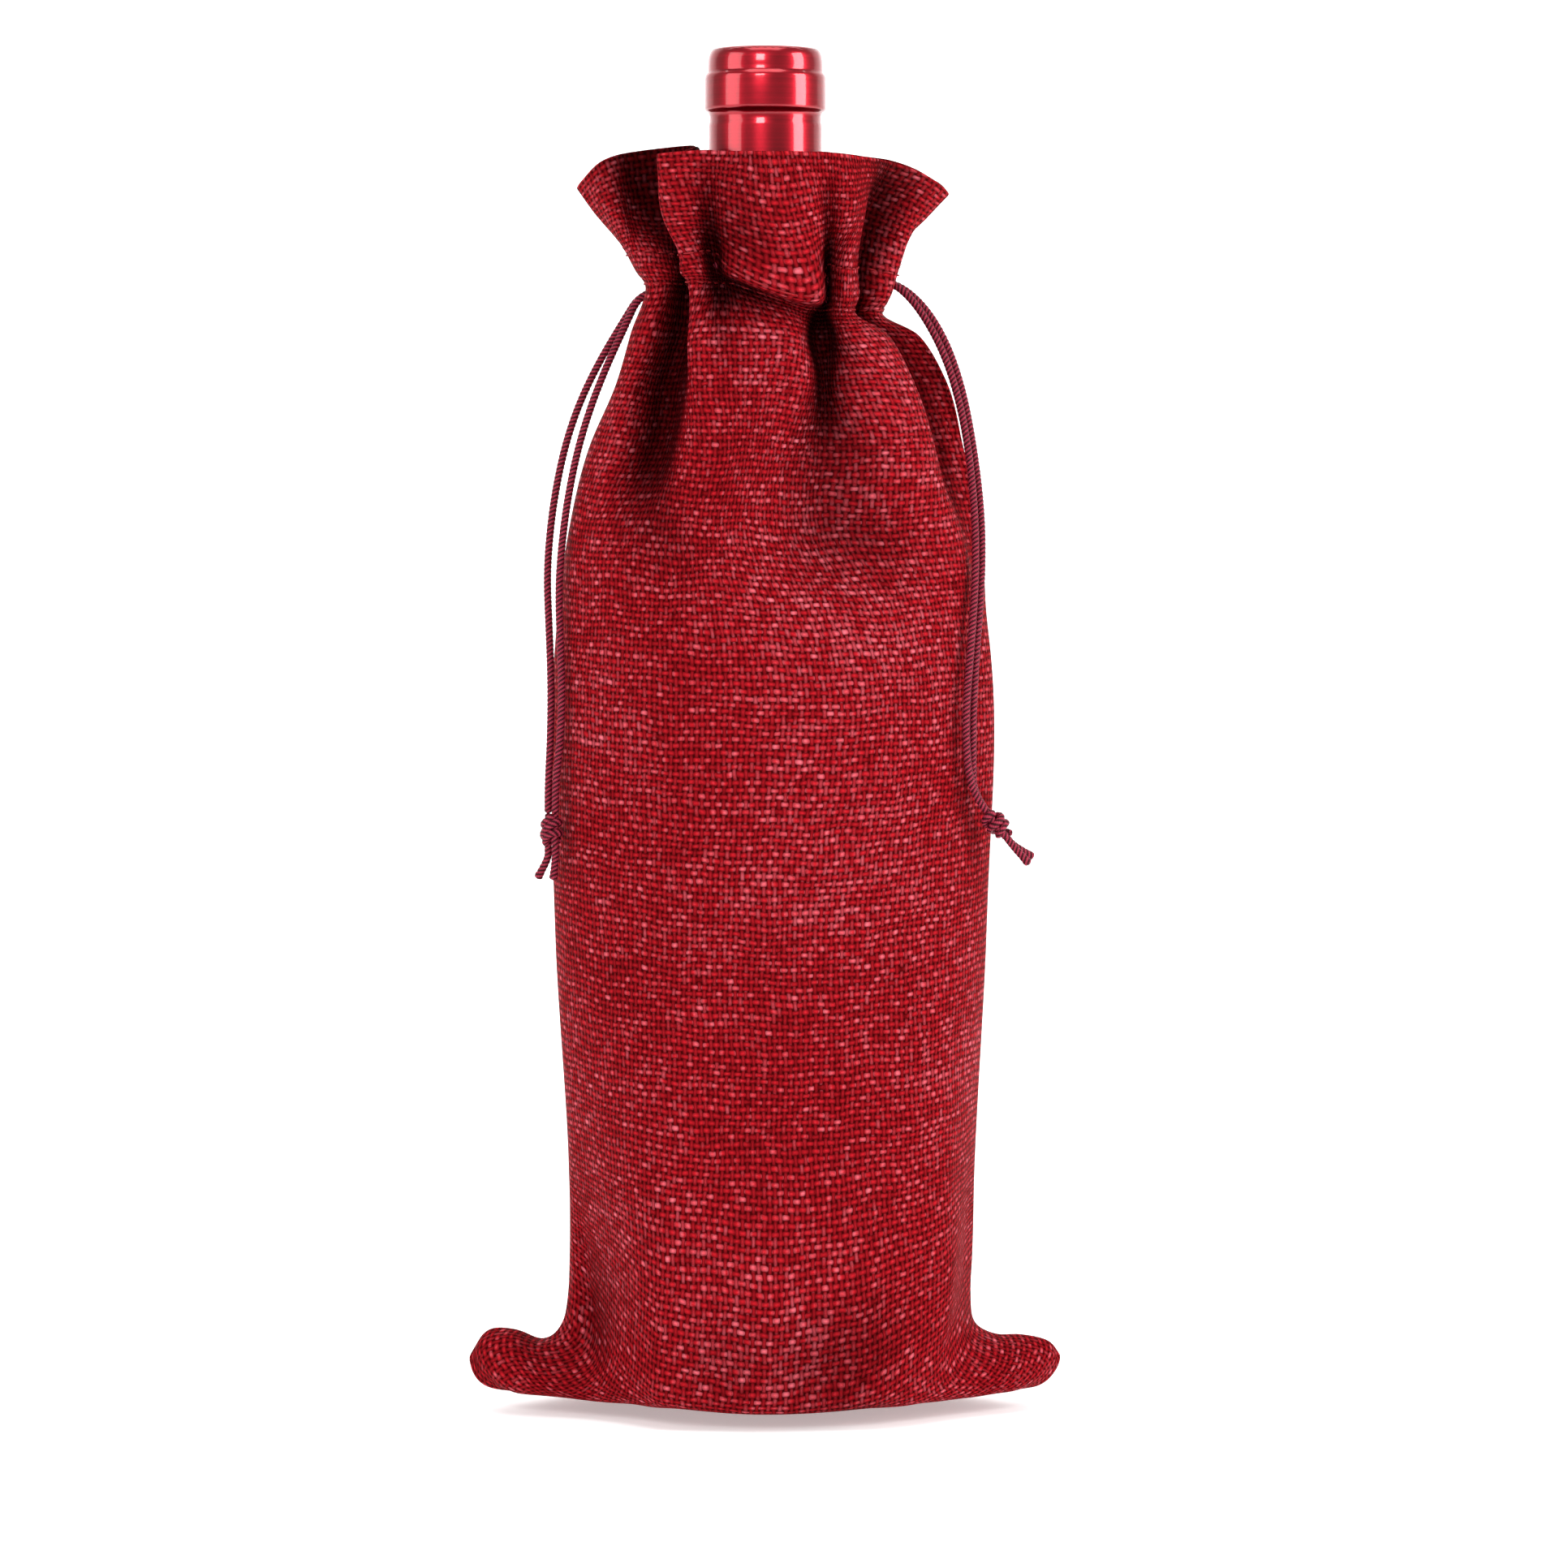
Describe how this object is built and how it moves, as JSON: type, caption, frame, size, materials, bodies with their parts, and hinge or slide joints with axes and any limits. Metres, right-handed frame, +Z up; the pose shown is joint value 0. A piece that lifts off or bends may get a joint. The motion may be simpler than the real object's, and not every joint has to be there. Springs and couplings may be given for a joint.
{
  "type": "wine gift bag",
  "caption": "Drawstring gift bag of coarse red woven cloth, cinched under a flared ruffle around a corked wine bottle, with knotted cord ends hanging at both sides and flat bottom corners.",
  "frame": {"origin": "on the floor, under the bottle's axis, at the middle of the bag's base", "axes": "+Z up along the bottle, +X to the viewer's right of the bag's front, -Y towards the bag's front; the side seams lie in the XZ plane"},
  "size_m": [0.1524, 0.0776, 0.3476],
  "materials": {
    "woven_cloth": "coarse matte plain weave of slubby two-tone yarn",
    "drawstring_cord": "smooth braided cord with a slight sheen",
    "sewing_thread": "matte spun thread",
    "bottle_glass": "dark green gloss",
    "wine": null,
    "cork": "natural cork",
    "foil": "glossy metallic red foil"
  },
  "bodies": {
    "bag": {"front_panel": "woven_cloth", "back_panel": "woven_cloth", "front_facing": "woven_cloth", "back_facing": "woven_cloth", "left_side_seam": "woven_cloth", "right_side_seam": "woven_cloth", "bottom_seam": "woven_cloth", "lower_casing_stitches": "sewing_thread", "upper_casing_stitches": "sewing_thread", "left_seam_stitches": "sewing_thread", "right_seam_stitches": "sewing_thread", "slit_bar_tacks": "sewing_thread", "left_channel_cord": "drawstring_cord", "right_channel_cord": "drawstring_cord"},
    "bottle": {"bottle_glass": "bottle_glass", "wine": "wine", "cork": "cork", "capsule_skirt": "foil", "capsule_disc": "foil"},
    "left_pull": {"left_back_strand": "drawstring_cord", "left_front_strand": "drawstring_cord", "left_knot": "drawstring_cord", "left_tails": "drawstring_cord"},
    "right_pull": {"right_back_strand": "drawstring_cord", "right_front_strand": "drawstring_cord", "right_knot": "drawstring_cord", "right_tails": "drawstring_cord"}
  },
  "joints": [
    {"name": "bottle_lift", "type": "slide", "parent": "bag", "child": "bottle", "axis": [0, 0, 1], "range_m": [0, 0.33], "deforming": ["front_panel", "back_panel", "front_facing", "back_facing", "left_side_seam", "right_side_seam", "lower_casing_stitches", "upper_casing_stitches", "left_seam_stitches", "right_seam_stitches", "slit_bar_tacks", "left_channel_cord", "right_channel_cord", "left_back_strand", "left_front_strand", "right_back_strand", "right_front_strand"]},
    {"name": "left_pull_swing", "type": "hinge", "parent": "bag", "child": "left_pull", "pos_m": [-0.0322, 0, 0.2846], "axis": [0, 1, 0], "range_deg": [0, 75]},
    {"name": "right_pull_swing", "type": "hinge", "parent": "bag", "child": "right_pull", "pos_m": [0.0322, 0, 0.2876], "axis": [0, -1, 0], "range_deg": [0, 75]}
  ]
}
